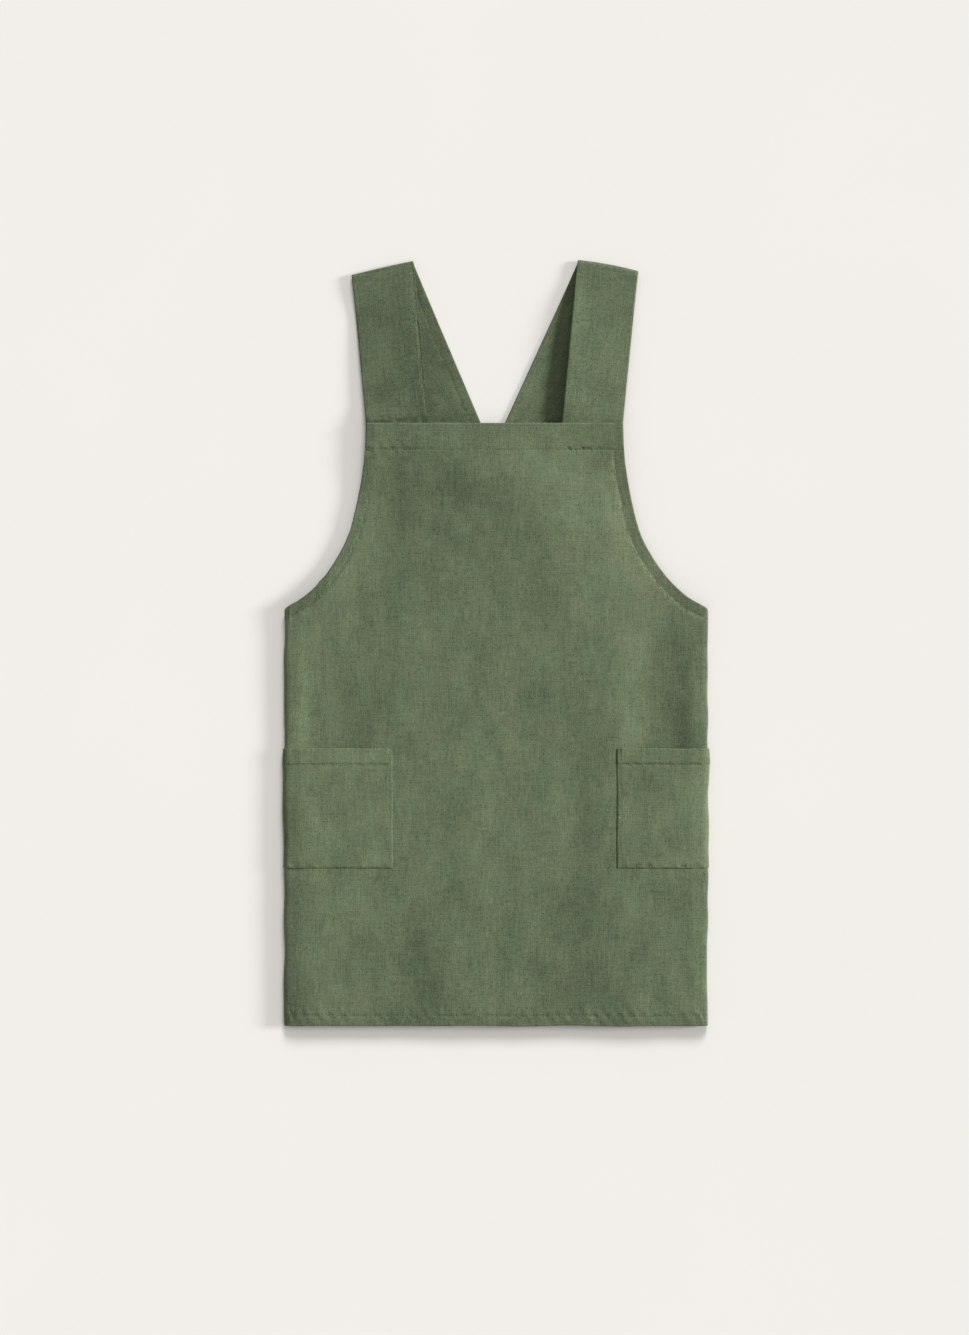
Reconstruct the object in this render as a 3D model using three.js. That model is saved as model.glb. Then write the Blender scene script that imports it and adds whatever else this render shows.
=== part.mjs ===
// Cross back apron of heavy linen, lying on its back with both sides folded under.
// Millimetres. +X is to the right as it is looked down on, +Y runs from the hem to the
// shoulders and +Z is up from the surface it lies on. The origin is at the bottom centre.
import * as THREE from 'three';

// Cloth, and the air between plies that lie on each other
const clothThickness = 1.2;
const strapThickness = 2.4;
const plyGap = 0.3;
const stepRun = 0.8;

// Body as it lies: the front's outline, and the hollow between the front and the back wings
const foldedWidth = 508.8;
const backGap = 8;
const bodyLength = 723.6;
const skirtShift = 10.8;
const frontLift = 12;
const foldRoom = 4.4;
const softFoldHeight = 1.3;

// Bib and armholes
const bibWidth = 308.4;
const bibShift = -1.8;
const armholeDepth = 219.6;
const wingDrop = 24;
const wingSettle = 0.154;

// Hems and facings
const bottomHem = 12.6;
const backHem = 18;
const bibFacingHeight = 31;
const armholeFacingWidth = 13;
const facingRamp = 6;

// Pockets
const pocketWidth = 182;
const pocketHeight = 143.4;
const pocketRise = 189.6;
const pocketSpacing = 270.2;
const pocketHem = 18.6;
const pocketDip = 4.6;
const dipRun = 30;
const dipFade = 70;
const wingRamp = 24;
const wingRampLead = 2;
const hemRampLead = 8;

// Straps
const strapWidth = 73;
const strapEdge = 0.6;
const shoulderSpread = 271;
const shoulderRise = 186.7;
const creaseHeight = 10;
const seatMargin = 3;
const seatOverlap = 11;
const bibSeatOverlap = 28;
const crossingMargin = 8;
const crossingRamp = 34;
const seatRamp = 14;

// The armhole's outline: share of its depth up from the side fold, and share of its reach out
const armholeCurve = [
  { up: 0, out: 1 },
  { up: 0.044, out: 0.822 },
  { up: 0.087, out: 0.703 },
  { up: 0.131, out: 0.602 },
  { up: 0.175, out: 0.515 },
  { up: 0.262, out: 0.377 },
  { up: 0.393, out: 0.22 },
  { up: 0.568, out: 0.113 },
  { up: 0.743, out: 0.04 },
  { up: 0.859, out: 0.012 },
  { up: 1, out: 0 },
];

// Soft folds of the front: place and half sizes as shares of the folded width and body length,
// turn in degrees and rise as a share of the soft fold height
const softFolds = [
  { across: 0.06, up: 0.86, wide: 0.09, long: 0.08, turn: -25, rise: 1 },
  { across: 0.24, up: 0.72, wide: 0.09, long: 0.09, turn: 35, rise: 0.9 },
  { across: -0.21, up: 0.73, wide: 0.07, long: 0.1, turn: -30, rise: 0.7 },
  { across: 0.15, up: 0.4, wide: 0.08, long: 0.13, turn: 0, rise: -0.9 },
  { across: -0.25, up: 0.11, wide: 0.08, long: 0.1, turn: -15, rise: -0.9 },
  { across: 0.11, up: 0.12, wide: 0.08, long: 0.1, turn: 10, rise: -0.9 },
  { across: -0.06, up: 0.3, wide: 0.1, long: 0.14, turn: 10, rise: 0.8 },
  { across: -0.04, up: 0.57, wide: 0.12, long: 0.09, turn: 20, rise: 0.6 },
  { across: -0.47, up: 0.04, wide: 0.08, long: 0.06, turn: 0, rise: -0.8 },
];

// The two straps: the side they start on, where they crease as shares of the shoulder sizes,
// the crease's tilt in degrees, and whether the back run passes over the other strap
const strapRows = [
  { name: 'strap_left', side: -1, out: 0.993, rise: 0.992, tilt: 13, over: false },
  { name: 'strap_right', side: 1, out: 1.007, rise: 1.008, tilt: -10.5, over: true },
];

const linen = new THREE.MeshStandardMaterial({ color: 0x66725a, roughness: 0.95, metalness: 0 });

const clamp01 = (v) => Math.min(1, Math.max(0, v));
const smooth = (v) => clamp01(v) ** 2 * (3 - 2 * clamp01(v));
const mix = (a, b, f) => a + (b - a) * f;

// Places worked out from the sizes above
const bendStart = foldedWidth / 2 - clothThickness - foldRoom;
const wingInside = clothThickness;
const bendLength = Math.PI * Math.hypot(foldRoom + clothThickness / 2, frontLift / 2) / Math.SQRT2;
const wingStart = bendStart + bendLength;
const foldTop = bodyLength - armholeDepth;
const pocketTop = pocketRise + pocketHeight;
const pocketHemLine = pocketTop - pocketHem;
const backEdgeX = (side) => side * (backGap / 2) - skirtShift;
const backEdge = (side) => wingStart + bendStart - side * backEdgeX(side);
const pocketEdge = (side) => pocketSpacing / 2 + side * skirtShift;
const pocketEnd = (side) => pocketEdge(side) + pocketWidth;

// One row of a table at a share between its rows
function alongTable(rows, key, value, share) {
  let next = rows.findIndex((row) => row[key] >= share);
  next = Math.max(1, next === -1 ? rows.length - 1 : next);
  const [a, b] = [rows[next - 1], rows[next]];
  return mix(a[value], b[value], clamp01((share - a[key]) / (b[key] - a[key])));
}

// How far the front reaches from the middle at a height above the side fold
function armholeEdge(side, t) {
  const out = alongTable(armholeCurve, 'up', 'out', (t - foldTop) / armholeDepth);
  const bibEdge = bibWidth / 2 + side * bibShift;
  return mix(bibEdge, bendStart, out);
}

// The top edge of the bend and the back wing, which goes on down from the armhole and levels out
function wingTop(side, s) {
  const share = (s - bendStart) / (backEdge(side) - bendStart);
  return foldTop - wingDrop * (1 - Math.exp(-Math.max(0, share) / wingSettle));
}

// Rise of the soft folds, which fades out towards the bib's edges so that facings lie flat
function softFold(x, t) {
  let rise = 0;
  for (const fold of softFolds) {
    const turn = THREE.MathUtils.degToRad(fold.turn);
    const dx = x - fold.across * foldedWidth;
    const dy = t - fold.up * bodyLength;
    const wide = (dx * Math.cos(turn) + dy * Math.sin(turn)) / (fold.wide * foldedWidth);
    const long = (dy * Math.cos(turn) - dx * Math.sin(turn)) / (fold.long * bodyLength);
    rise += fold.rise * softFoldHeight * Math.exp(-(wide * wide + long * long));
  }
  const fromTop = smooth((bodyLength - bibFacingHeight - t) / (2 * bibFacingHeight));
  const nearArmhole = t > foldTop - 2 * armholeFacingWidth;
  const fromEdge = armholeEdge(Math.sign(x) || 1, t) - armholeFacingWidth - Math.abs(x);
  return rise * fromTop * (nearArmhole ? smooth(fromEdge / (2 * armholeFacingWidth)) : 1);
}

// Share of the pocket's dip at a place: the front sinks away behind each pocket, so that the
// pocket stands open, and comes back up above its mouth
function dipShare(x, t) {
  const side = Math.sign(x) || 1;
  const fromSeam = (Math.abs(x) - pocketEdge(side)) / dipRun;
  const fromFold = (bendStart - Math.abs(x)) / dipRun;
  const fromBottom = (t - pocketRise) / dipRun;
  const aboveMouth = (pocketTop + dipFade - t) / dipFade;
  return smooth(fromSeam) * smooth(fromFold) * smooth(fromBottom) * smooth(aboveMouth);
}

// How far the back wing is lifted off the surface by the pocket that is wrapped under it
function wingLift(side, s, t) {
  const pocket = clothThickness + plyGap;
  const below = clamp01((t - (pocketRise - wingRampLead - wingRamp)) / wingRamp);
  const above = clamp01((pocketTop + wingRampLead + wingRamp - t) / wingRamp);
  const inward = clamp01((pocketEnd(side) + wingRampLead + wingRamp - s) / wingRamp);
  const hem = clamp01((t - (pocketHemLine - wingRampLead - hemRampLead)) / hemRampLead);
  return (pocket + clothThickness * hem) * Math.min(below, above) * inward;
}

// A point of the wrapped cloth. s runs across from the middle of the front, round the side fold
// and back along the wing; t runs up from the hem; n is the height above the inner face.
function wrapPoint(s, t, n, dips = true) {
  const side = Math.sign(s) || 1;
  const reach = Math.abs(s);
  if (reach <= bendStart) {
    const dip = dips ? pocketDip * dipShare(s, t) : 0;
    return new THREE.Vector3(s, t, frontLift + softFold(s, t) - dip + n);
  }
  const wing = wingInside + wingLift(side, reach, t);
  if (reach >= wingStart) {
    return new THREE.Vector3(side * (bendStart - (reach - wingStart)), t, wing - n);
  }
  const front = frontLift + softFold(side * bendStart, t);
  const angle = Math.PI * (0.5 - (reach - bendStart) / bendLength);
  const tall = (front - wing) / 2;
  const outward = new THREE.Vector2(Math.cos(angle) / foldRoom, Math.sin(angle) / tall).normalize();
  const x = bendStart + foldRoom * Math.cos(angle) + n * outward.x;
  return new THREE.Vector3(side * x, t, wing + tall + tall * Math.sin(angle) + n * outward.y);
}

function meshFrom(name, points, triangles) {
  let volume = 0;
  for (const [a, b, c] of triangles) {
    volume += points[a].dot(new THREE.Vector3().crossVectors(points[b], points[c]));
  }
  const facing = volume > 0 ? triangles : triangles.map(([a, b, c]) => [a, c, b]);
  const geometry = new THREE.BufferGeometry().setFromPoints(points);
  geometry.setIndex(facing.flat());
  geometry.computeVertexNormals();
  const mesh = new THREE.Mesh(geometry, linen);
  mesh.name = name;
  return mesh;
}

// A closed sheet over a grid of cells. faceAt gives a grid point's two faces, and cells that
// has() leaves out cut the sheet's outline.
function sheetMesh(name, columns, rows, faceAt, has = () => true) {
  const points = [];
  const triangles = [];
  const numbers = new Map();
  const quad = (a, b, c, d) => triangles.push([a, b, c], [a, c, d]);
  const inside = (i, j) => i >= 0 && j >= 0 && i < columns - 1 && j < rows - 1 && has(i, j);
  const corner = (i, j) => {
    const key = j * columns + i;
    if (!numbers.has(key)) {
      numbers.set(key, points.length);
      points.push(...faceAt(i, j));
    }
    return numbers.get(key);
  };
  for (let j = 0; j < rows - 1; j += 1) {
    for (let i = 0; i < columns - 1; i += 1) {
      if (!inside(i, j)) continue;
      const ring = [corner(i, j), corner(i + 1, j), corner(i + 1, j + 1), corner(i, j + 1)];
      const beyond = [inside(i, j - 1), inside(i + 1, j), inside(i, j + 1), inside(i - 1, j)];
      quad(...ring);
      quad(...ring.map((k) => k + 1).reverse());
      beyond.forEach((shared, k) => {
        const [a, b] = [ring[k], ring[(k + 1) % 4]];
        if (!shared) quad(b, a, a + 1, b + 1);
      });
    }
  }
  return meshFrom(name, points, triangles);
}

// Stations across one half of the body, from the middle of the front to the back edge
const bendSteps = 6;
const bendStations = Array.from({ length: bendSteps + 1 }, (_, k) => bendStart + (bendLength * k) / bendSteps);
const seamColumns = (side) => [0, 0.4, 1].map((share) => pocketEdge(side) + share * dipRun);
const foldColumns = [bendStart - dipRun, bendStart - armholeFacingWidth];
const middleColumns = (side) => [0.33, 0.66].map((share) => share * pocketEdge(side));
const wingColumns = (side) => [
  pocketEnd(side) + wingRampLead,
  pocketEnd(side) + wingRampLead + wingRamp,
  mix(pocketEnd(side), backEdge(side), 0.55),
  backEdge(side) - backHem - stepRun,
  backEdge(side) - backHem,
  backEdge(side),
];
function halfColumns(side) {
  const pocketMiddle = (pocketEdge(side) + bendStart) / 2;
  const front = [...middleColumns(side), ...seamColumns(side), pocketMiddle, ...foldColumns];
  return [...front, ...bendStations, ...wingColumns(side)].map((s) => side * s);
}

// Heights of the rows that the skirt and the pockets share
const pocketRows = [
  pocketRise,
  pocketRise + 0.45 * dipRun,
  pocketRise + dipRun,
  mix(pocketRise + dipRun, pocketHemLine, 0.5),
  pocketHemLine - wingRampLead - hemRampLead,
  pocketHemLine - wingRampLead,
  pocketHemLine,
  pocketHemLine + stepRun,
  pocketTop,
];
const flatRows = [
  0,
  bottomHem,
  bottomHem + stepRun,
  0.35 * pocketRise,
  0.62 * pocketRise,
  pocketRise - wingRampLead - wingRamp,
  pocketRise - wingRampLead,
  ...pocketRows,
  pocketTop + wingRampLead,
  pocketTop + wingRampLead + wingRamp,
  pocketTop + 0.62 * dipFade,
  pocketTop + dipFade,
  foldTop - 2.4 * wingDrop,
];

// Rows that follow the top edge of the side folds and back wings, as depths below it
const backHemEnd = armholeFacingWidth + seatMargin;
const edgeRows = [backHemEnd + stepRun, backHemEnd, 0];

function bodyPanel() {
  const columns = [...halfColumns(-1).reverse(), 0, ...halfColumns(1)];
  const bibRows = armholeCurve.slice(1).map((row) => foldTop + row.up * armholeDepth);
  const heights = [...flatRows, ...edgeRows.map((depth) => foldTop - depth), ...bibRows];
  const lastSkirtRow = flatRows.length + edgeRows.length - 1;
  const onFront = (s) => Math.abs(s) < bendStart + stepRun;
  const faceAt = (i, j) => {
    let s = columns[i];
    let t = heights[j];
    const side = Math.sign(s) || 1;
    const followsEdge = j >= flatRows.length && j <= lastSkirtRow;
    if (followsEdge) t += wingTop(side, Math.abs(s)) - foldTop;
    if (j > lastSkirtRow) {
      const edge = armholeEdge(side, t);
      const fromEdge = bendStart - Math.abs(s);
      const scaled = (edge - armholeFacingWidth) / (bendStart - armholeFacingWidth);
      const inField = fromEdge >= armholeFacingWidth;
      s = side * (inField ? Math.abs(s) * scaled : edge - fromEdge);
    }
    const inBackHem = backEdge(side) - Math.abs(s) < backHem + stepRun / 2;
    const backHemmed = inBackHem && j <= flatRows.length;
    const hem = t < bottomHem + stepRun / 2 || backHemmed ? clothThickness : 0;
    return [wrapPoint(s, t, clothThickness), wrapPoint(s, t, -hem)];
  };
  const has = (i, j) => j < lastSkirtRow || (onFront(columns[i]) && onFront(columns[i + 1]));
  return sheetMesh('body_panel', columns.length, heights.length, faceAt, has);
}

function pocket(side) {
  const within = (s) => Math.abs(s) > pocketEdge(side) - stepRun && Math.abs(s) < pocketEnd(side);
  const columns = halfColumns(side).filter(within);
  columns.push(side * pocketEnd(side));
  const faceAt = (i, j) => {
    const hem = pocketRows[j] > pocketHemLine ? clothThickness : 0;
    const inner = clothThickness + plyGap;
    return [inner + clothThickness + hem, inner].map((n) => wrapPoint(columns[i], pocketRows[j], n, false));
  };
  const name = side < 0 ? 'pocket_left' : 'pocket_right';
  return sheetMesh(name, columns.length, pocketRows.length, faceAt);
}

// Half of a strap's width measured along a line at an angle to its run
function halfAlong(run, lineAngle) {
  return strapWidth / 2 / Math.abs(Math.sin(Math.atan2(run.y, run.x) - lineAngle));
}

// Where a strap is sewn to the bib, creased at the shoulder and sewn to the opposite wing
function strapPlaces(row) {
  const crease = new THREE.Vector2(
    bibShift + row.side * row.out * (shoulderSpread / 2),
    bodyLength + row.rise * shoulderRise,
  );
  const tilt = THREE.MathUtils.degToRad(row.tilt);
  const across = new THREE.Vector2(Math.cos(tilt), Math.sin(tilt));
  const bibCorner = bibShift + row.side * (bibWidth / 2);
  const rise = new THREE.Vector2(crease.x - bibCorner + row.side * (strapWidth / 2), crease.y - bodyLength);
  const bibHalf = halfAlong(rise, 0);
  const bibSeat = new THREE.Vector2(bibCorner - row.side * bibHalf, bodyLength);
  const wing = -row.side;
  const corner = new THREE.Vector2(backEdgeX(wing) + wing * seatMargin, wingTop(wing, backEdge(wing)));
  const fall = new THREE.Vector2(corner.x + wing * (strapWidth / 2) - crease.x, corner.y - crease.y);
  const seatHalf = halfAlong(fall, 0);
  const seat = new THREE.Vector2(corner.x + wing * seatHalf, corner.y);
  const creaseHalf = halfAlong(crease.clone().sub(bibSeat), tilt);
  const foldHalf = halfAlong(seat.clone().sub(crease), tilt);
  const over = new THREE.Vector2(-across.y, across.x);
  const axis = crease.clone().addScaledVector(over, -creaseHeight / 2);
  const lean = (axis.x - bibSeat.x) / (axis.y - bibSeat.y);
  const seatLean = Math.abs((axis.x - seat.x) / (axis.y - seat.y));
  const half = (creaseHalf + foldHalf) / 2;
  return { axis, across, over, bibSeat, bibHalf, lean, seat, seatHalf, seatLean, creaseHalf: half };
}

// Height at which the two back runs cross, and how far the crossing reaches up and down
function strapCrossing() {
  const [a, b] = strapRows.map(strapPlaces);
  const slope = (p) => (p.seat.x - p.axis.x) / (p.axis.y - p.seat.y);
  const start = (p) => p.axis.x + slope(p) * p.axis.y;
  const y = (start(b) - start(a)) / (slope(b) - slope(a));
  return { y, reach: (a.seatHalf + b.seatHalf) / Math.abs(slope(b) - slope(a)) + crossingMargin };
}

// Stations of one strap, each with its left and right outer corners and its outward direction
function strapStations(row) {
  const p = strapPlaces(row);
  const stations = [];
  const add = (centre, half, height, outward) => {
    const left = new THREE.Vector3(centre.x - half.x, centre.y - half.y, height);
    const right = new THREE.Vector3(centre.x + half.x, centre.y + half.y, height);
    stations.push({ left, right, outward });
  };
  const up = new THREE.Vector3(0, 0, 1);
  const down = new THREE.Vector3(0, 0, -1);
  const level = new THREE.Vector2(1, 0);
  const bibLevel = frontLift - plyGap;
  const radius = creaseHeight / 2;
  const { axis, over } = p;
  const creaseSpan = p.across.clone().multiplyScalar(p.creaseHalf);
  const bibSpan = level.clone().multiplyScalar(p.bibHalf);
  const seatSpan = level.clone().multiplyScalar(p.seatHalf);

  const rise = axis.clone().sub(p.bibSeat);
  const sewn = p.bibSeat.clone().addScaledVector(rise, -bibSeatOverlap / rise.y);
  add(sewn, bibSpan, bibLevel, up);
  for (const share of [0, 0.2, 0.45, 0.7, 0.9, 1]) {
    const centre = p.bibSeat.clone().lerp(axis, share);
    add(centre, bibSpan.clone().lerp(creaseSpan, share), mix(bibLevel, creaseHeight, share), up);
  }
  for (const share of [1, 2, 3, 4, 5]) {
    const angle = Math.PI * (0.5 - share / 6);
    const centre = axis.clone().addScaledVector(over, radius * Math.cos(angle));
    const outward = new THREE.Vector3(over.x, over.y, 0).multiplyScalar(Math.cos(angle));
    add(centre, creaseSpan, radius + radius * Math.sin(angle), outward.setZ(Math.sin(angle)));
  }

  const crossing = strapCrossing();
  const seatLevel = clothThickness + plyGap;
  const crossLevel = row.over ? strapThickness + plyGap : 0;
  const crossTop = crossing.y + crossing.reach;
  const crossBottom = Math.max(crossing.y - crossing.reach, p.seat.y + wingRampLead + seatRamp);
  const backRows = [
    { y: axis.y, level: 0 },
    { y: mix(axis.y, crossTop + crossingRamp, 0.5), level: 0 },
    { y: crossTop + crossingRamp, level: 0 },
    { y: crossTop, level: crossLevel },
    { y: crossing.y, level: crossLevel },
    { y: crossBottom, level: crossLevel },
    { y: p.seat.y + wingRampLead, level: seatLevel },
    { y: p.seat.y - seatOverlap, level: seatLevel },
  ];
  for (const { y, level: height } of backRows) {
    const share = (axis.y - y) / (axis.y - p.seat.y);
    const centre = axis.clone().lerp(p.seat, share);
    add(centre, creaseSpan.clone().lerp(seatSpan, Math.min(1, share)), height, down);
  }
  return stations;
}

// A strap is a loft of one flat section with eased edges, carried from the bib to the wing
function strap(row) {
  const easeAcross = strapEdge / strapWidth;
  const section = [
    [0, strapEdge], [easeAcross, 0], [1 - easeAcross, 0], [1, strapEdge],
    [1, strapThickness - strapEdge], [1 - easeAcross, strapThickness],
    [easeAcross, strapThickness], [0, strapThickness - strapEdge],
  ];
  const stations = strapStations(row);
  const count = section.length;
  const points = stations.flatMap(({ left, right, outward }) => section.map(([across, depth]) => (
    left.clone().lerp(right, across).addScaledVector(outward, -depth))));
  const triangles = [];
  for (let j = 0; j < stations.length - 1; j += 1) {
    for (let i = 0; i < count; i += 1) {
      const [a, b] = [j * count + i, j * count + ((i + 1) % count)];
      triangles.push([a, b, b + count], [a, b + count, a + count]);
    }
  }
  const last = (stations.length - 1) * count;
  for (let i = 1; i < count - 1; i += 1) {
    triangles.push([0, i + 1, i], [last, last + i, last + i + 1]);
  }
  return meshFrom(row.name, points, triangles);
}

// Levels of a facing: on the cloth itself, and over a strap end that it takes in
const facingOnCloth = -plyGap;
const facingOnStrap = -(strapThickness + 2 * plyGap);

// The strip behind the bib's top edge, which steps over the two strap ends
function bibFacing() {
  const [left, right] = strapRows.map(strapPlaces);
  const clear = plyGap + strapEdge;
  const beside = (p, side, out) => (t) => (
    p.bibSeat.x + p.lean * (t - bodyLength) + side * (p.bibHalf + out));
  const columns = [
    { x: (t) => -armholeEdge(-1, t), level: facingOnStrap },
    { x: beside(left, 1, clear), level: facingOnStrap },
    { x: beside(left, 1, clear + facingRamp), level: facingOnCloth },
    { x: beside(right, -1, clear + facingRamp), level: facingOnCloth },
    { x: beside(right, -1, clear), level: facingOnStrap },
    { x: (t) => armholeEdge(1, t), level: facingOnStrap },
  ];
  const rows = [bodyLength - bibFacingHeight, bodyLength - strapEdge];
  const faceAt = (i, j) => {
    const { x, level } = columns[i];
    return [level, level - clothThickness].map((n) => wrapPoint(x(rows[j]), rows[j], n));
  };
  return sheetMesh('bib_facing', columns.length, rows.length, faceAt);
}

// The strip behind one armhole: down the bib's side, round the side fold and along the wing's top
function armholeFacing(side) {
  const sections = [];
  const bibFoot = bodyLength - bibFacingHeight - stepRun;
  const edgeAt = (t) => new THREE.Vector2(armholeEdge(side, t), t);
  const curve = armholeCurve.map((row) => foldTop + row.up * armholeDepth).filter((t) => t < bibFoot);
  for (const t of [...curve.slice(1), bibFoot].reverse()) {
    const along = edgeAt(Math.min(t + stepRun, bodyLength)).sub(edgeAt(t - stepRun)).normalize();
    const inward = new THREE.Vector2(-along.y, along.x);
    if (t === bibFoot) inward.set(-1, 0);
    sections.push({ outer: edgeAt(t), inner: edgeAt(t).addScaledVector(inward, armholeFacingWidth) });
  }
  const { seat, seatHalf, seatLean } = strapPlaces(strapRows.find((row) => row.side === -side));
  const wingAt = (x) => wingStart + (bendStart - side * x);
  const seatStart = wingAt(seat.x) - seatHalf - plyGap - strapEdge;
  const rampStart = seatStart - facingRamp;
  const along = [
    ...bendStations,
    ...[0.15, 0.35, 0.6].map((share) => mix(wingStart, rampStart, share)),
    rampStart, seatStart, backEdge(side),
  ];
  for (const s of along) {
    const besideStrap = s === rampStart || s === seatStart;
    const lowerS = s - (besideStrap ? seatLean * armholeFacingWidth : 0);
    sections.push({
      outer: new THREE.Vector2(s, wingTop(side, s)),
      inner: new THREE.Vector2(lowerS, wingTop(side, lowerS) - armholeFacingWidth),
      level: s >= seatStart ? facingOnStrap : facingOnCloth,
    });
  }
  const faceAt = (i, j) => {
    const { outer, inner, level = facingOnCloth } = sections[j];
    const place = i === 0 ? inner : outer;
    return [level, level - clothThickness].map((n) => wrapPoint(side * place.x, place.y, n));
  };
  const name = side < 0 ? 'armhole_facing_left' : 'armhole_facing_right';
  return sheetMesh(name, 2, sections.length, faceAt);
}

const apron = new THREE.Group();
apron.add(bodyPanel(), bibFacing());
for (const side of [-1, 1]) apron.add(armholeFacing(side), pocket(side));
for (const row of strapRows) apron.add(strap(row));

// The origin is moved to the middle of the apron's box, on the surface it lies on
const box = new THREE.Box3().setFromObject(apron);
const middle = box.getCenter(new THREE.Vector3());
apron.position.set(-middle.x, -middle.y, -box.min.z);

export default apron;
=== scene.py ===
"""The looks of a cross back apron of washed olive linen, lying folded on a pale table.

The cloth is cut flat, in millimetres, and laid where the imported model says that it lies."""

import bmesh
import bpy
import numpy as np
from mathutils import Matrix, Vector, noise


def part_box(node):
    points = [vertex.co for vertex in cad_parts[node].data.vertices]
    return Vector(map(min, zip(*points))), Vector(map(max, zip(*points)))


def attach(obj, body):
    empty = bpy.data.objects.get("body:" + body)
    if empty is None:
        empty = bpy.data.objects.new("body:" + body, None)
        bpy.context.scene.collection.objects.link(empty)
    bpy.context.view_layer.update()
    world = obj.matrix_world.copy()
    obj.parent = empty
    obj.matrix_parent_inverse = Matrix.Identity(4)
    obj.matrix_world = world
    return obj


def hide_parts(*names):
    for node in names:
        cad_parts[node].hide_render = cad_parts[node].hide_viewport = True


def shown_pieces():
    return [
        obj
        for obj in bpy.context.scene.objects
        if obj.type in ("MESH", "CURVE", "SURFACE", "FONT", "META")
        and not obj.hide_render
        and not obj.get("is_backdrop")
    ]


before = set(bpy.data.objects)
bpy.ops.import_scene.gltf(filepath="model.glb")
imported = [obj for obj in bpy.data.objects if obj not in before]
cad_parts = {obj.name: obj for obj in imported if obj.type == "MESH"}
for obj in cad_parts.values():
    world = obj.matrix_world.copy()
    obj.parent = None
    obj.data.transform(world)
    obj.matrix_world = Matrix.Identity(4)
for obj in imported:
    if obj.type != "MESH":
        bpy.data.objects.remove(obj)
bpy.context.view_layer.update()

# Body panel
# One length of washed linen makes the bib, the skirt and the two back wings. Its bottom edge and
# its two back edges are turned in and stitched, and both sides are folded under along the grain.
MM = 0.001
ply = 0.56
cad_ply = 1.2
ply_gap = 0.3

body_low, body_high = (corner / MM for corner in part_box("body_panel"))
hem_height = body_low.y
folded_width = body_high.x - body_low.x
body_length = body_high.y - body_low.y
front_lift = 12.0
fold_room = 4.4
shoulder_room = 7.0
shoulder_drop = 1.2
shoulder_run = 15.0
back_gap = 8.0
skirt_shift = 10.8
lowest = 0.3

bib_width = 308.4
bib_shift = -1.8
armhole_depth = 219.6
wing_drop = 24.0
wing_settle = 0.154
armhole_up = [0, 0.044, 0.087, 0.131, 0.175, 0.262, 0.393, 0.568, 0.743, 0.859, 1]
armhole_out = [1, 0.822, 0.703, 0.602, 0.515, 0.377, 0.22, 0.113, 0.04, 0.012, 0]

bottom_hem = 12.6
back_hem = 18.0
bib_facing_height = 31.0
armhole_facing_width = 13.0

pocket_low, pocket_high = (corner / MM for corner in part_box("pocket_left"))
pocket_rise = pocket_low.y - hem_height
pocket_top = pocket_high.y - hem_height
pocket_hem = 18.6
mouth_line = pocket_top - pocket_hem
pocket_width = 182.0
pocket_inner = {-1: -pocket_high.x, 1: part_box("pocket_right")[0].x / MM}
pocket_dip = 5.4
dip_from_seam = {-1: 76.0, 1: 42.0}
dip_from_fold = {-1: 30.0, 1: 40.0}
dip_from_bottom = 30.0
dip_fade = 175.0
wing_ramp = 24.0
wing_clear = 2.0

bend_start = folded_width / 2 - cad_ply - fold_room
bend_length = np.pi * np.hypot(fold_room + cad_ply / 2, front_lift / 2) / np.sqrt(2)
wing_start = bend_start + bend_length
fold_top = body_length - armhole_depth
facing_foot = body_length - bib_facing_height
back_edge = {side: wing_start + bend_start - side * (side * back_gap / 2 - skirt_shift) for side in (-1, 1)}


def ease(v):
    """0 to 1 with no corner at either end."""
    v = np.clip(v, 0, 1)
    return v * v * (3 - 2 * v)


def ramp(v, start, end):
    """0 up to the start, 1 from the end on, and smooth between."""
    return ease((v - start) / (end - start))


def near(distance, width):
    """1 at no distance, falling away over that width."""
    return np.exp(-(distance / width) ** 2)


def by_side(s, values):
    """The value of each place's own side of the apron."""
    return np.where(s < 0, values[-1], values[1])


def rounded_table(x, xs, ys, steps=12):
    """A curve through the rows of a table, rounded at each row."""
    points = np.array([xs, ys], float).T
    before = np.vstack([2 * points[0] - points[1], points[:-1]])[:-1]
    after = np.vstack([points[1:], 2 * points[-1] - points[-2]])[1:]
    start, end = points[:-1], points[1:]
    curve = []
    for f in np.linspace(0, 1, steps, endpoint=False):
        curve.append(0.5 * (2 * start + (end - before) * f
                            + (2 * before - 5 * start + 4 * end - after) * f ** 2
                            + (3 * start - before - 3 * end + after) * f ** 3))
    curve = np.vstack([np.stack(curve, 1).reshape(-1, 2), points[-1]])
    return np.interp(x, curve[:, 0], curve[:, 1])


def armhole_edge(side, t):
    """How far the front reaches from the middle at a height above the side fold."""
    out = rounded_table((t - fold_top) / armhole_depth, armhole_up, armhole_out)
    bib_edge = bib_width / 2 + side * bib_shift
    return bib_edge + (bend_start - bib_edge) * out


def wing_top(s):
    """The top edge of the side fold and back wing, which goes on down from the armhole."""
    share = (np.abs(s) - bend_start) / (by_side(s, back_edge) - bend_start)
    return fold_top - wing_drop * (1 - np.exp(-np.maximum(0, share) / wing_settle))


far = 1000.0
armhole_search = 90.0
armhole_points = 90
wing_top_points = 50


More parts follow.
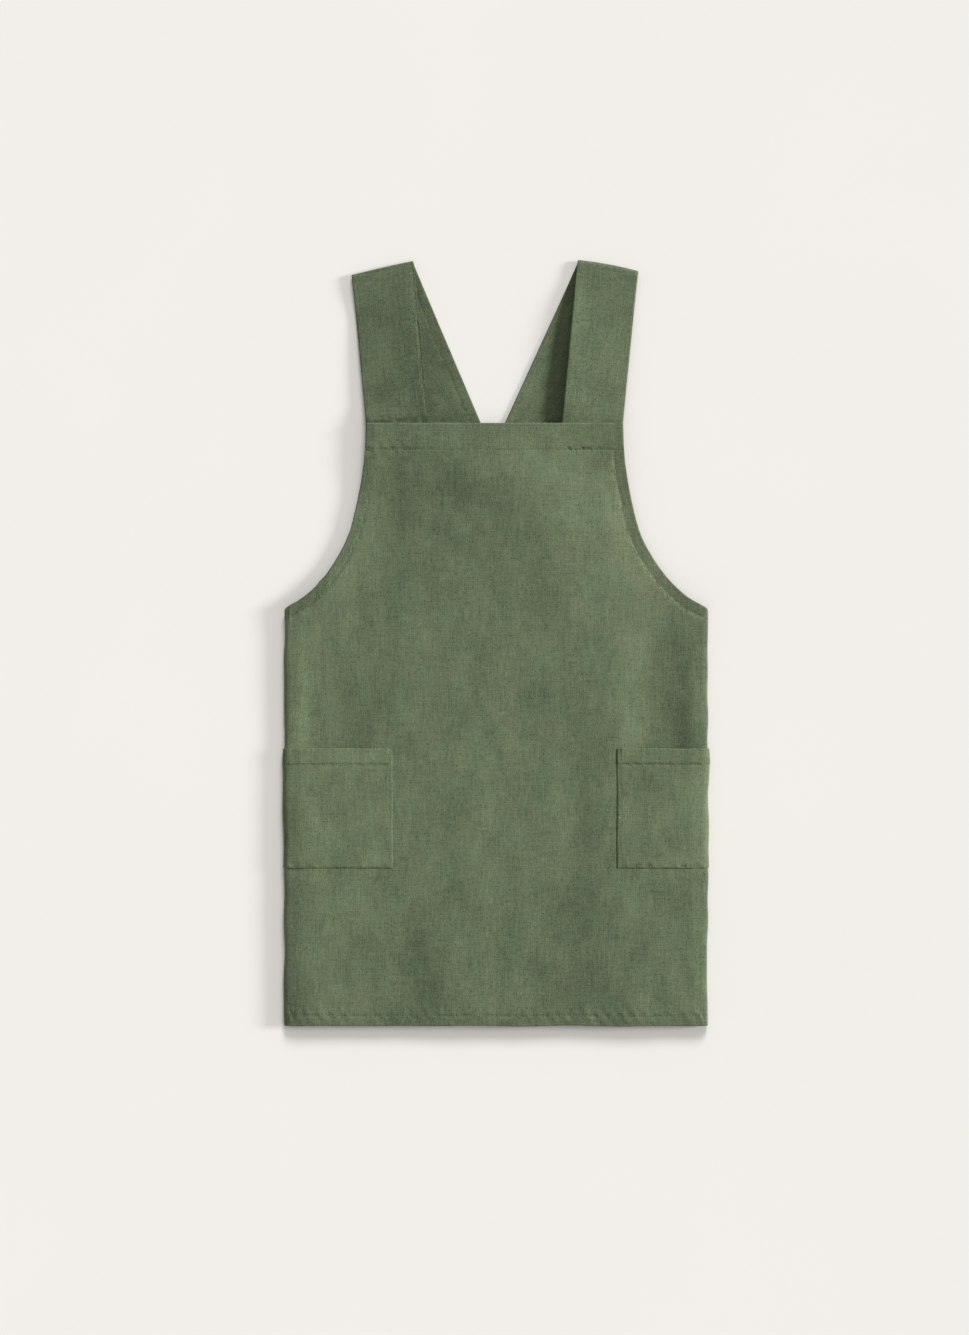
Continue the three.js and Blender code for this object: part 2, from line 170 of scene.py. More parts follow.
def from_armhole(s, t):
    """Distance of each place from its side's armhole and wing top edge."""
    nearest = np.full(s.shape, far)
    for side in (-1, 1):
        up = np.linspace(body_length, fold_top, armhole_points)
        along = np.linspace(bend_start, back_edge[side], wing_top_points)[1:]
        edge_s = np.concatenate([side * armhole_edge(side, up), side * along])
        edge_t = np.concatenate([up, wing_top(side * along)])
        mine = np.flatnonzero((s * side >= 0) & (t > fold_top - armhole_search))
        for k in range(len(edge_s) - 1):
            a = np.array([edge_s[k], edge_t[k]])
            run = np.array([edge_s[k + 1], edge_t[k + 1]]) - a
            ds, dt = s[mine] - a[0], t[mine] - a[1]
            f = np.clip((ds * run[0] + dt * run[1]) / (run @ run), 0, 1)
            nearest[mine] = np.minimum(nearest[mine], np.hypot(ds - f * run[0], dt - f * run[1]))
    return nearest


def crumple(s, t, across, up, seed):
    """Smooth noise over the cloth, from -1 to 1, with creases of that size across and up."""
    places = np.broadcast_arrays(s / across, t / up, seed)
    return np.array([noise.noise(place) for place in zip(*places)])


def soft_patches(s, t, table):
    """The sum of a table's round patches, each of which fades out from its middle."""
    amount = np.zeros(s.shape)
    for across, up, wide, long, turn, most in table:
        turn = np.radians(turn)
        ds, dt = s - across * folded_width, t - up * body_length
        w = (ds * np.cos(turn) + dt * np.sin(turn)) / (wide * folded_width)
        d = (dt * np.cos(turn) - ds * np.sin(turn)) / (long * body_length)
        amount += most * np.exp(-(w * w + d * d))
    return amount


# Soft folds of the front: place and half sizes as shares of the folded width and body length,
# turn in degrees, rise in millimetres
soft_folds = [
    (0.08, 0.84, 0.16, 0.2, 12, 3.6),
    (-0.25, 0.83, 0.05, 0.11, -6, -1.3),
    (0.25, 0.36, 0.045, 0.16, -2, 1.0),
    (0.17, 0.37, 0.045, 0.16, 2, -0.8),
    (0.3, 0.12, 0.1, 0.11, 4, 2.6),
    (-0.09, 0.08, 0.09, 0.1, -6, 2.2),
    (-0.44, 0.2, 0.055, 0.2, 0, 1.5),
    (-0.06, 0.3, 0.1, 0.14, 10, 1.0),
    (-0.04, 0.57, 0.12, 0.09, 20, 0.8),
]
large_crease = 0.95
small_crease = 0.18
droop = 4.0
droop_width = 48.0
droop_fade = 60.0


def front_relief(s, t):
    """Rise of the soft folds and creases of the front, which fade out towards the sewn edges."""
    rise = soft_patches(s, t, soft_folds)
    rise += large_crease * crumple(s, t, across=46, up=95, seed=3.1)
    rise += small_crease * crumple(s, t, across=19, up=38, seed=7.7)
    rise -= shoulder_drop * ramp(np.abs(s), bend_start - shoulder_run, bend_start)
    from_top = ramp(t, facing_foot, facing_foot - 2 * bib_facing_height)
    edge = from_armhole(s, t)
    from_side = ramp(edge, armhole_facing_width, 3 * armhole_facing_width)
    drooping = droop * near(edge, droop_width) * ramp(t, fold_top, fold_top + droop_fade) * from_top
    return rise * from_top * from_side - drooping


def pocket_dips(s, t):
    """How far the front sinks away behind each pocket, so that the pocket stands open."""
    from_seam = (np.abs(s) - by_side(s, pocket_inner)) / by_side(s, dip_from_seam)
    from_fold = (bend_start - np.abs(s)) / by_side(s, dip_from_fold)
    from_bottom = (t - pocket_rise) / dip_from_bottom
    above_mouth = (pocket_top + dip_fade - t) / dip_fade
    return pocket_dip * ease(from_seam) * ease(from_fold) * ease(from_bottom) * ease(above_mouth)


def wing_lift(s, t):
    """How far the back wing is lifted by the pocket that is wrapped under it."""
    reach = wing_clear + wing_ramp
    pocket_outer = by_side(s, pocket_inner) + pocket_width
    below = ramp(t, pocket_rise - reach, pocket_rise - wing_clear)
    above = ramp(t, pocket_top + reach, pocket_top + wing_clear)
    inward = ease((pocket_outer + reach - np.abs(s)) / wing_ramp)
    hem = ramp(t, mouth_line - 5 * wing_clear, mouth_line - wing_clear)
    return (cad_ply + ply_gap + cad_ply * hem) * np.minimum(below, above) * inward


fold_sway = 1.3
fold_sway_foot, fold_sway_top = fold_top - 20.0, fold_top + 10.0


def lay(s, t, n, dips=True):
    """Places of cloth that is wrapped as the body is: s runs across from the middle, round the
    side fold and back along the wing, t up from the hem, and n is the height above the inner face."""
    side, reach = np.where(s < 0, -1, 1), np.abs(s)
    on_front = np.clip(s, -bend_start, bend_start)
    front = front_lift + front_relief(on_front, t) - (pocket_dips(on_front, t) if dips else 0)
    wing = cad_ply + wing_lift(s, t)
    tall = (front - wing) / 2
    middle = wing_start - bend_length / 2
    shoulder = bend_start + fold_room - shoulder_room
    over = np.clip((reach - shoulder) / (middle - shoulder), 0, 1)
    under = np.clip((reach - middle) / (bend_length / 2), 0, 1)
    angle = np.pi / 2 * (1 - over - under)
    room = np.where(under > 0, fold_room, shoulder_room)
    out_x, out_z = np.cos(angle) / room, np.sin(angle) / tall
    length = np.hypot(out_x, out_z)
    sway = crumple(0, t, across=1, up=33, seed=71.3 + side)
    sway = fold_sway * (sway + crumple(0, t, across=1, up=110, seed=73.9 + side))
    sway = sway * ramp(t, fold_sway_top, fold_sway_foot)
    fold_x = bend_start + fold_room - room * (1 - np.cos(angle)) + sway * np.cos(angle) ** 2
    flat_x = np.where(under >= 1, bend_start - (reach - wing_start), np.minimum(reach, fold_x))
    x = np.where((over > 0) & (under < 1), fold_x, flat_x) + n * out_x / length
    z = wing + tall + tall * np.sin(angle) + n * out_z / length
    return np.stack([side * x, t + hem_height, np.maximum(z, lowest)], -1)


def in_scene(name, data):
    """A new object in the scene."""
    made = bpy.data.objects.new(name, data)
    bpy.context.scene.collection.objects.link(made)
    return made


def steps(*stops):
    """Places from stop to stop: a number, then how far apart the next ones are, and so on."""
    places = [stops[0]]
    for pitch, end in zip(stops[1::2], stops[2::2]):
        count = max(1, round(abs(end - places[-1]) / pitch))
        places.extend(np.linspace(places[-1], end, count + 1)[1:])
    return np.array(places)


def cut_cloth(name, across, up, place, marks, shape=None, keep=None):
    """A piece of cloth, cut from a grid of threads and laid where place() says. marks() gives the
    values that its finish reads, shape() the flat cut, and keep() what of the grid is in it."""
    bm = bmesh.new()
    columns, rows = len(across) - 1, len(up) - 1
    bmesh.ops.create_grid(bm, x_segments=columns, y_segments=rows, size=0.5)
    grid = np.array([v.co for v in bm.verts])[:, :2] + 0.5
    s = across[np.rint(grid[:, 0] * columns).astype(int)]
    t = up[np.rint(grid[:, 1] * rows).astype(int)]
    if keep:
        kept = keep(s, t)
        out = [f for f in bm.faces if not all(kept[v.index] for v in f.verts)]
        bmesh.ops.delete(bm, geom=out, context="FACES")
        s, t = s[kept], t[kept]
    if shape:
        s, t = shape(s, t)
    mesh = bpy.data.meshes.new(name)
    bm.to_mesh(mesh)
    bm.free()
    flat = np.stack([s, t, np.zeros(s.shape)], -1) * MM
    mesh.vertices.foreach_set("co", flat.ravel())
    cut_area = sum(polygon.area for polygon in mesh.polygons)
    corners = [loop.vertex_index for loop in mesh.loops]
    mesh.uv_layers.new(name="cloth").uv.foreach_set("vector", flat[corners, :2].ravel())
    mesh.vertices.foreach_set("co", (place(s, t) * MM).ravel())
    for mark, value in ({"worn": 0.0, "wash": 0.0} | marks(s, t)).items():
        attribute = mesh.attributes.new(mark, "FLOAT", "POINT")
        attribute.data.foreach_set("value", value + np.zeros(s.shape))
    mesh.update()
    mesh.shade_smooth()
    cloth = in_scene(name, mesh)
    solid = cloth.modifiers.new("Thickness", "SOLIDIFY")
    solid.thickness = ply * MM
    solid.offset = 0
    cloth["cut"] = [np.ptp(s) * MM, np.ptp(t) * MM, cut_area]
    return cloth


def sewn_in(cloth, node, finish, with_pieces=()):
    """The cloth takes its finish, stands for its CAD node, which is hidden, and rides on the apron with its
    threads.
    """
    cloth.data.materials.append(finish)
    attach(cloth, "root")
    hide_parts(node)
    for thread in with_pieces:
        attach(thread, "root")


def rolled(edge, drop, width):
    """How far a ply turns down at an edge that is that far away."""
    inside = np.clip(1 - edge / width, 0, 1)
    return drop * (1 - np.sqrt(1 - inside * inside))


def turned(v, radius):
    """Cloth turned in at a fold: v is the flat distance from it, less than 0 past it. Gives the
    place beside the fold and how far the ply has gone under."""
    turn = np.clip(-v / radius, 0, np.pi)
    past = np.maximum(0, -v - np.pi * radius)
    return radius * (1 - np.sin(turn)) + np.maximum(v, 0) + past + ply / 2, radius * (1 - np.cos(turn))


hem_turn = 0.6
back_turn = 0.4
hem_sway = 1.1
hem_sway_height = 60.0
armhole_sway = 1.6
armhole_sway_width = 12.0
outer_ply = 0.9
edge_drop = 0.75
edge_round = 1.3
drawn_down_from = 110.0
drawn_down_to = 20.0
pucker_pitch = 14.5
pucker_rise = 0.65
pucker_least = 0.6
pucker_wander = 3.0


def body_shape(s, t):
    """The flat cut: the bib's threads are drawn in to the armhole, and the side's follow its top edge."""
    reach, side = np.abs(s), np.where(s < 0, -1, 1)
    edge = armhole_edge(side, t)
    border = 2 * armhole_facing_width
    inward = bend_start - reach
    drawn = np.where(inward >= border, reach * (edge - border) / (bend_start - border), edge - inward)
    lowered = t + (wing_top(s) - fold_top) * ramp(t, fold_top - drawn_down_from, fold_top - drawn_down_to)
    on_bib = t > fold_top
    return np.where(on_bib, side * drawn, s), np.where(on_bib, t, lowered)


def puckers(s, t, seed, lean=0.7):
    """Slanting ripples that a line of stitching draws up in the cloth beside it."""
    strength = np.clip(pucker_least + crumple(s, t, across=40, up=400, seed=seed), 0, 1)
    wandered = s + lean * t + pucker_wander * crumple(s, t, across=30, up=30, seed=seed)
    return pucker_rise * strength * np.sin(2 * np.pi * wandered / pucker_pitch)


def body_place(s, t):
    """The body as it lies, with its hems turned in and its seams puckered."""
    reach, side = np.abs(s), np.where(s < 0, -1, 1)
    from_back, back_under = turned(by_side(s, back_edge) - reach - ply / 2 - back_turn, back_turn)
    from_hem, hem_under = turned(t - ply / 2 - hem_turn, hem_turn)
    from_side, from_band = from_armhole(s, t), facing_foot - t
    wavy = near(from_side, armhole_sway_width) * ramp(s, -150, -180) * (reach < bend_start - 5)
    laid_s = side * (by_side(s, back_edge) - from_back)
    laid_s = laid_s + armhole_sway * crumple(s, t, across=11, up=11, seed=61.7) * wavy
    laid_t = from_hem + hem_sway * crumple(s, 0, across=60, up=1, seed=9.1) * near(t, hem_sway_height)
    n = outer_ply - back_under - hem_under
    n -= rolled(from_side, edge_drop, edge_round) + rolled(body_length - t, edge_drop, edge_round)
    gathered = puckers(s, t, 21.3) * near(t - bottom_hem, 9)
    gathered += puckers(s, t, 25.7) * near(from_band, 7) * ramp(s, -30, -70)
    gathered += puckers(s, t, 33.1, lean=-0.4) * near(from_side - 8, 6) * ramp(s, -160, -190)
    n += gathered * (reach < bend_start)
    return lay(laid_s, laid_t, n)


# Painted light and shade of the front's broad soft folds, paler above 0 and darker below it: places and half
# sizes as for the folds
painted_light_and_shade = [
    (0.25, 0.81, 0.085, 0.17, 22, 0.14),
    (0.15, 0.935, 0.13, 0.035, 0, 0.12),
    (-0.08, 0.9, 0.05, 0.09, 60, -0.22),
    (-0.19, 0.86, 0.08, 0.1, 0, -0.1),
    (-0.1, 0.77, 0.12, 0.06, 0, -0.05),
    (-0.33, 0.82, 0.04, 0.11, -10, 0.28),
    (0.33, 0.63, 0.07, 0.12, 0, 0.1),
    (0.42, 0.57, 0.03, 0.11, -4, -0.2),
    (0.23, 0.38, 0.05, 0.15, 0, -0.07),
    (0.19, 0.12, 0.12, 0.12, 0, -0.16),
    (-0.18, 0.08, 0.1, 0.11, 0, -0.15),
    (-0.47, 0.04, 0.05, 0.06, 0, -0.14),
    (-0.43, 0.58, 0.06, 0.13, 0, 0.1),
    (-0.33, 0.6, 0.055, 0.13, 0, -0.04),
    (-0.35, 0.14, 0.09, 0.1, 0, 0.05),
    (0.06, 0.28, 0.12, 0.1, 0, 0.04),
    (-0.12, 0.64, 0.12, 0.1, 0, 0.03),
]
# Painted light along the left side fold and painted shade along the right one, more of it up the left fold
fold_painted_light = {-1: 0.3, 1: -0.15}
upper_fold_painted_light = 1.2
hem_shade = -0.08
border_shade = {-1: -0.19, 1: -0.13}
seam_reach = 6.0
plain_press = 0.8
hem_press = 1.05
armhole_press = 1.5
right_armhole_press = 0.45
flat_above = 0.7


def body_marks(s, t):
    """How near each place is to an edge and a seam, how pressed and worn it is, and its painted light and
    shade.
    """
    from_side, from_band = from_armhole(s, t), facing_foot - t
    from_back = by_side(s, back_edge) - np.abs(s)
    edge = np.minimum.reduce([from_side, body_length - t, np.abs(t), np.abs(from_back)])
    past_border = 1.2 * armhole_facing_width * ramp(from_band, 5, 0)
    seam = np.minimum.reduce([from_side - armhole_facing_width + 1 + past_border, from_band,
                              t - bottom_hem, from_back - back_hem])
    worn = ramp(s, 60, 150) * ramp(t, fold_top - 30, fold_top + 10) * (from_side < 40)
    worn = worn * ramp(from_band, 5, 14)
    band_press = 0.4 + 0.8 * ramp(s, -60, -90) - 0.2 * ramp(s, -20, 10)
    band_press += 1.1 * ramp(s, 80, 88) + 2.2 * ramp(s, 83, 87) * ramp(s, 116, 102)
    upper_left = flat_above * ramp(t, fold_top + 90, fold_top + 150)
    side_press = armhole_press * np.where(s < 0, 1 - upper_left, right_armhole_press)
    on_armhole = near(from_side - armhole_facing_width, seam_reach) * (t > fold_top - 20)
    press = plain_press + (band_press - plain_press) * near(from_band, seam_reach)
    press += (hem_press - plain_press) * near(t - bottom_hem, seam_reach)
    press += (side_press - plain_press) * on_armhole
    wash = soft_patches(s, t, painted_light_and_shade) * (np.abs(s) < wing_start)
    # Painted light and shade along the side folds
    on_fold = near(np.abs(s) - bend_start - 2, 3) * (t < fold_top)
    more_painted_light = 1 + upper_fold_painted_light * ramp(t, fold_top - 130, fold_top - 20) * (s < 0)
    wash += by_side(s, fold_painted_light) * more_painted_light * on_fold
    on_border = ramp(from_side, armhole_facing_width, armhole_facing_width - 3) * (t > fold_top - 20)
    wash += by_side(s, border_shade) * on_border + hem_shade * ramp(t, bottom_hem, bottom_hem - 4)
    return {"edge": edge, "seam": seam, "worn": worn, "press": press, "wash": wash}


def linear(red, green, blue):
    """A colour as the eye reads it, 0 to 255, as the light that a shader works in."""
    share = np.array([red, green, blue]) / 255
    return (*np.where(share > 0.04045, ((share + 0.055) / 1.055) ** 2.4, share / 12.92), 1.0)


class Amount:
    """A number that varies over the cloth. Sums and products of it become Math nodes."""

    def __init__(self, finish, socket):
        self.finish, self.socket = finish, socket

    def math(self, operation, *values):
        return self.finish.node("ShaderNodeMath", {"operation": operation}, dict(enumerate(values)))[0]

    def __add__(self, other):
        return self.math("ADD", self, other)

    def __sub__(self, other):
        return self.math("SUBTRACT", self, other)

    def __rsub__(self, other):
        return self.math("SUBTRACT", other, self)

    def __mul__(self, other):
        return self.math("MULTIPLY", self, other)

    def __truediv__(self, other):
        return self.math("DIVIDE", self, other)

    def __neg__(self):
        return self.math("MULTIPLY", self, -1)

    __radd__ = __add__
    __rmul__ = __mul__

    def bell(self, width):
        """1 where this is 0, falling away over that width."""
        scaled = self / width
        return self.math("EXPONENT", -(scaled * scaled))

    def between(self, low, high):
        """0 below low, 1 above high, smooth between."""
        return self.finish.node("ShaderNodeMapRange", {"interpolation_type": "SMOOTHSTEP"},
                                {"Value": self, "From Min": low, "From Max": high})[0]


class Finish:
    """A material under way, with one shader that its textures feed."""

    def __init__(self, name, **constants):
        self.material = bpy.data.materials.new(name)
        self.material.use_nodes = True
        self.tree = self.material.node_tree
        self.shader = self.tree.nodes["Principled BSDF"]
        for socket, value in constants.items():
            self.shader.inputs[socket.replace("_", " ")].default_value = value

    def node(self, kind, settings=None, inputs=None):
        """A new node's outputs. Settings are made first, then its sockets' values and links."""
        made = self.tree.nodes.new(kind)
        for setting, value in (settings or {}).items():
            setattr(made, setting, value)
        for socket, value in (inputs or {}).items():
            self.put(made.inputs[socket], value)
        return [Amount(self, socket) for socket in made.outputs]

    def put(self, socket, value):
        """Links an amount to a socket, or sets a plain value."""
        if isinstance(value, Amount):
            self.tree.links.new(value.socket, socket)
        else:
            socket.default_value = value

    def mark(self, name):
        """The value that the cloth's own attribute has."""
        return self.node("ShaderNodeAttribute", {"attribute_name": name})[2]

    def blend(self, share, first, second):
        """The first colour at a share of 0 and the second at 1."""
        return self.node("ShaderNodeMix", {"data_type": "RGBA"}, {0: share, 6: first, 7: second})[2]

    def streaks(self, place, across, up, detail=2.0):
        """Noise, mostly from -1 to 1, whose marks are that many millimetres across and up."""
        sized = self.node("ShaderNodeVectorMath", {"operation": "MULTIPLY"},
                          {0: place, 1: (1 / (across * MM), 1 / (up * MM), 1)})[0]
        made = self.node("ShaderNodeTexNoise", {"noise_dimensions": "2D"},
                         {"Vector": sized, "Scale": 1.0, "Detail": detail, "Roughness": 0.6})
        return made[0] * 4 - 2

    def done(self, colour, height):
        """Joins the colour and the height in millimetres to the shader."""
        bump = self.node("ShaderNodeBump", {}, {"Strength": 1.0, "Distance": MM, "Height": height})[0]
        self.put(self.shader.inputs["Base Color"], colour)
        self.put(self.shader.inputs["Normal"], bump)
        return self.material


yarn_pitch = 1.05
dark_green, pale_green = linear(61, 75, 55), linear(110, 129, 98.5)
dark_olive, pale_olive = linear(70.5, 74.5, 56), linear(123, 127.5, 99.5)


def linen(name):
    """Washed linen: uneven yarns both ways, dark slubs, a colour that wavers between green and olive,
    a seam pressed into it and edges that the dye has worn off."""
    finish = Finish(name, Roughness=0.92, Specular_IOR_Level=0.18, Sheen_Weight=0.06, Sheen_Roughness=0.5)
    place = finish.node("ShaderNodeUVMap", {"uv_map": "cloth"})[0]
    speck = finish.streaks(place, 1.3, 1.6, detail=1.0)
    fleck = finish.streaks(place, 4.2, 6.0, detail=1.0)
    cloud = finish.streaks(place, 11, 19, detail=1.0)
    drift = finish.streaks(place, 34, 60, detail=1.0)
    warp = finish.streaks(place, 1.5, 34)
    weft = finish.streaks(place, 26, 1.5)
    slub = finish.streaks(place, 1.7, 2.9, detail=0.0)
    yarn = finish.node("ShaderNodeSeparateXYZ", {}, {0: place})
    across, up = [(yarn[k] * (2 * np.pi / (yarn_pitch * MM))).math("SINE") for k in (0, 1)]
    edge, seam = finish.mark("edge"), finish.mark("seam")
    worn, press = finish.mark("worn"), finish.mark("press")
    press = press * (0.6 + 0.8 * cloud + 0.4 * fleck).between(-0.3, 1.2) * 1.5
    frayed = (seam - 3.2).bell(3.4) * worn * (0.6 * speck + 0.4 * fleck + 0.3).between(0, 1)
    shade = 0.5 + 0.19 * speck + 0.09 * fleck + 0.06 * cloud + 0.1 * drift + 0.12 * warp + 0.1 * weft
    # The mark read here carries each piece's own tone together with its painted light and shade.
    shade = shade + finish.mark("wash") - 0.34 * slub.between(0.75, 1.3) + 0.05 * across * up
    shade = shade + 0.05 * edge.bell(1.1) - 0.12 * seam.bell(1.2) * press + 0.6 * frayed
    height = 0.05 * speck + 0.04 * warp + 0.03 * weft + 0.03 * across * up
    height = height - 0.36 * seam.bell(2.3) * press + 0.1 * (-seam).between(-1.2, 1.2)
    hue = finish.streaks(place, 2.4, 3.2, detail=1.0) + 0.45 * finish.streaks(place, 9, 12, detail=1.0)
    hue = hue + 0.6 * finish.streaks(place, 34, 46, detail=1.0) + 0.8 * worn
    greens = finish.blend(shade, dark_green, pale_green)
    olives = finish.blend(shade, dark_olive, pale_olive)
    return finish.done(finish.blend(hue.between(-2.6, 3.4), greens, olives), height)


def thread():
    """Olive sewing thread, two plies twisted."""
    finish = Finish("sewing_thread", Roughness=0.7, Specular_IOR_Level=0.3)
    place = finish.node("ShaderNodeTexCoord")[3]
    twist = finish.node("ShaderNodeTexNoise", {}, {"Vector": place, "Scale": 900.0})[0]
    colour = finish.blend(twist, linear(76, 86, 66), linear(104, 116, 90))
    return finish.done(colour, twist * 0.05)


sewing_thread = thread()
stitch_pitch = 3.4
stitch_half = (1.2, 0.338, 0.208)


def lengths_along(path):
    """How far along its path each point is."""
    return np.concatenate([[0], np.cumsum(np.linalg.norm(np.diff(path, axis=0), axis=1))])


def read_at(places, run, rows):
    """The rows of a table as they are at places along its run."""
    return np.stack([np.interp(places, run, column) for column in rows.T], -1)


def stitches(name, path):
    """A line of stitches along a path on the cloth, each sunk at its ends."""
    run = lengths_along(path)
    count = max(2, int(run[-1] / stitch_pitch))
    middles = (np.arange(count) + 0.5) * run[-1] / count
    centres = read_at(middles, run, path)
    ahead = read_at(middles + 0.5, run, path) - read_at(middles - 0.5, run, path)
    apart = 10
    bm = bmesh.new()
    bmesh.ops.create_uvsphere(bm, u_segments=6, v_segments=4, radius=1)
    copies = 1
    while copies < count:
        made = bmesh.ops.duplicate(bm, geom=[*bm.verts, *bm.edges, *bm.faces])["geom"]
        moved = [v for v in made if isinstance(v, bmesh.types.BMVert)]
        bmesh.ops.translate(bm, verts=moved, vec=(apart * copies, 0, 0))
        copies *= 2
    spare = [v for v in bm.verts if v.co.x > apart * (count - 0.5)]
    bmesh.ops.delete(bm, geom=spare, context="VERTS")
    mesh = bpy.data.meshes.new(name)
    bm.to_mesh(mesh)
    bm.free()
    local = np.array([v.co for v in mesh.vertices])
    number = np.rint(local[:, 0] / apart).astype(int)
    local[:, 0] -= number * apart
    turns = np.array([Vector(way).to_track_quat("X", "Z").to_matrix() for way in ahead])
    placed = centres[number] + np.einsum("kij,kj->ki", turns[number], local * stitch_half)
    mesh.vertices.foreach_set("co", (placed * MM).ravel())
    mesh.update()
    mesh.shade_smooth()
    mesh.materials.append(sewing_thread)
    return in_scene(name, mesh)


def on_cloth(s, t, n=outer_ply + ply / 2, dips=True):
    """A path on the laid cloth, through flat places."""
    return lay(*np.broadcast_arrays(s, t), n, dips)


half = [steps(0, 3.5, bend_start - 26, 3.3, bend_start - 6.5, 2.2, bend_start - 2, 0.7, bend_start,
              1.2, wing_start, 9, end - back_hem - 3, 4, end - 2, 0.7, end, 0.35, end + 2, 4, end + back_hem)
        for end in (back_edge[-1], back_edge[1])]
body_across = np.concatenate([-half[0][:0:-1], half[1]])
body_up = steps(-bottom_hem - 1, 3.4, -2.4, 0.45, 1, 1.2, 3, 2.6, 20, 4.2, fold_top - 20, 3.3, fold_top - 3,
                0.8, fold_top, 1.5, fold_top + 12, 2.6, fold_top + 40, 3.9, body_length - 36, 2.9,
                body_length - 3, 0.8, body_length - 0.8, 0.4, body_length)
body = cut_cloth("body_cloth", body_across, body_up, body_place, body_marks, shape=body_shape,
                 keep=lambda s, t: (t <= fold_top) | (np.abs(s) <= bend_start + 0.01))

hem_run = np.linspace(-back_edge[-1] + 2, back_edge[1] - 2, 700)
body_threads = [stitches("hem_stitches", on_cloth(hem_run, bottom_hem))]
for side, word in ((-1, "left"), (1, "right")):
    up = np.linspace(3, wing_top(np.array([side * back_edge[side]]))[0] - 3, 240)
    run = on_cloth(side * (back_edge[side] - back_hem + 1), up)
    body_threads.append(stitches(f"back_hem_stitches_{word}", run))
sewn_in(body, "body_panel", linen("body_linen"), body_threads)

# Pockets
# Two patches of the same linen, each with a turned mouth, topstitched down its sides and along
# its bottom. They are sewn across the side folds, so that part of each lies under the wing.
pocket_turn = 0.4
pocket_rest = 0.35
pocket_ply = cad_ply + ply_gap + pocket_rest + ply / 2
mouth_ply = pocket_ply + 0.75
topstitch = 2.4
corner_box = 25.0
pocket_pucker = 0.5
pocket_sway = 0.7
pocket_slack = 0.65
pocket_drop = 0.8
pocket_roll = {-1: 2.6, 1: 1.7}
pocket_press = {-1: 0.45, 1: 1.05}
least_press = 0.1
pocket_paler = 0.06
mouth_line_sway = 0.9
# Painted light and shade of the pockets' soft folds: places and half sizes as shares of the folded width and
# body length, turn in degrees, paler above 0
pocket_painted_light_and_shade = [
    (0.37, 0.405, 0.045, 0.03, 0, -0.14),
    (0.45, 0.36, 0.03, 0.09, 0, 0.09),
    (-0.45, 0.4, 0.035, 0.04, 0, 0.12),
    (-0.3, 0.29, 0.05, 0.03, 0, 0.09),
    (-0.32, 0.445, 0.04, 0.012, 0, 0.12),
]
for side, word in ((-1, "left"), (1, "right")):
    inner, outer = pocket_inner[side], pocket_inner[side] + pocket_width

    def pocket_edges(s, t):
        """Distance of each place from the patch's sides and bottom."""
        return np.minimum.reduce([np.abs(s) - inner, outer - np.abs(s), t - pocket_rise])

    def pocket_place(s, t):
        """The patch as it lies, with its mouth turned in and its seams puckered."""
        edge = pocket_edges(s, t)
        from_mouth, under = turned(pocket_top - t - ply / 2 - pocket_turn, pocket_turn)
        laid_t = pocket_top - from_mouth
        band = ramp(laid_t, mouth_line - 1, mouth_line + 1.2)
        n = pocket_ply + (mouth_ply - pocket_ply) * band * (0.5 + 0.5 * ramp(edge, 0, 14)) - under
        at_bottom = near(t - pocket_rise - topstitch, 5) * ramp(edge, -1, 2)
        at_mouth = 0.6 * near(laid_t - mouth_line, 4) * ramp(edge, 4, 12)
        n += puckers(s, t, 31.7 + side) * (at_bottom + at_mouth) * pocket_pucker
        slack = (1 + crumple(s, t, across=19, up=27, seed=5.5 + side)) / 2
        n += pocket_slack * slack * ramp(edge, 5, 30) * (1 - band)
        n -= rolled(edge, pocket_drop, pocket_roll[side])
        sideways = pocket_sway * crumple(0, t, across=1, up=34, seed=41.3 + side)
        laid_t = laid_t + pocket_sway * crumple(s, 0, across=34, up=1, seed=43.3 + side)
        return lay(s + sideways * (np.abs(s) < bend_start), laid_t, n, dips=False)

    def pocket_marks(s, t):
        """The topstitching, the mouth's line, the little box that is sewn in the right one's corner, and the
        patch's paler tone with its painted light and shade.
        """
        edge = pocket_edges(s, t)
        line = mouth_line - t + mouth_line_sway * crumple(s, 0, across=17, up=1, seed=47.9 + side)
        box = np.where((side > 0) & (t > mouth_line), np.abs(edge - corner_box), far)
        uneven = ease(0.7 + 1.3 * crumple(s, t, across=13, up=60, seed=49.1 + side))
        return {"edge": np.minimum(edge, np.abs(pocket_top - t)),
                "seam": np.minimum.reduce([edge - topstitch, np.where(edge > 4, line, far), box]),
                "press": pocket_press[side] * uneven + least_press,
                "wash": pocket_paler + soft_patches(s, t, pocket_painted_light_and_shade)}

    reach = steps(inner, 0.4, inner + 1.2, 1, inner + 4, 3, bend_start - 6, 1.3, wing_start, 4,
                  outer - 3, 0.6, outer)
    height = steps(pocket_rise, 0.4, pocket_rise + 1.2, 1, pocket_rise + 4, 3, mouth_line - 3, 1.2,
                   mouth_line + 3, 3, pocket_top - 2, 0.5, pocket_top + 2, 4, pocket_top + pocket_hem)
    across = -reach[::-1] if side < 0 else reach
    patch = cut_cloth(f"pocket_{word}_cloth", across, height, pocket_place, pocket_marks)
    level = pocket_ply + ply / 2
    down = np.linspace(pocket_top - 2, pocket_rise + topstitch, 90)
    run = np.linspace(inner + topstitch, outer - topstitch, 150)
    rim = np.concatenate([
        on_cloth(side * (inner + topstitch), down, level, False),
        on_cloth(side * run, pocket_rise + topstitch, level, False),
        on_cloth(side * (outer - topstitch), down[::-1], level, False)])
    mouth = on_cloth(side * run, mouth_line + 1.2, mouth_ply + ply / 2, False)
    threads = [stitches(f"pocket_stitches_{word}", rim), stitches(f"mouth_stitches_{word}", mouth)]
    sewn_in(patch, f"pocket_{word}", linen(f"pocket_linen_{word}"), threads)

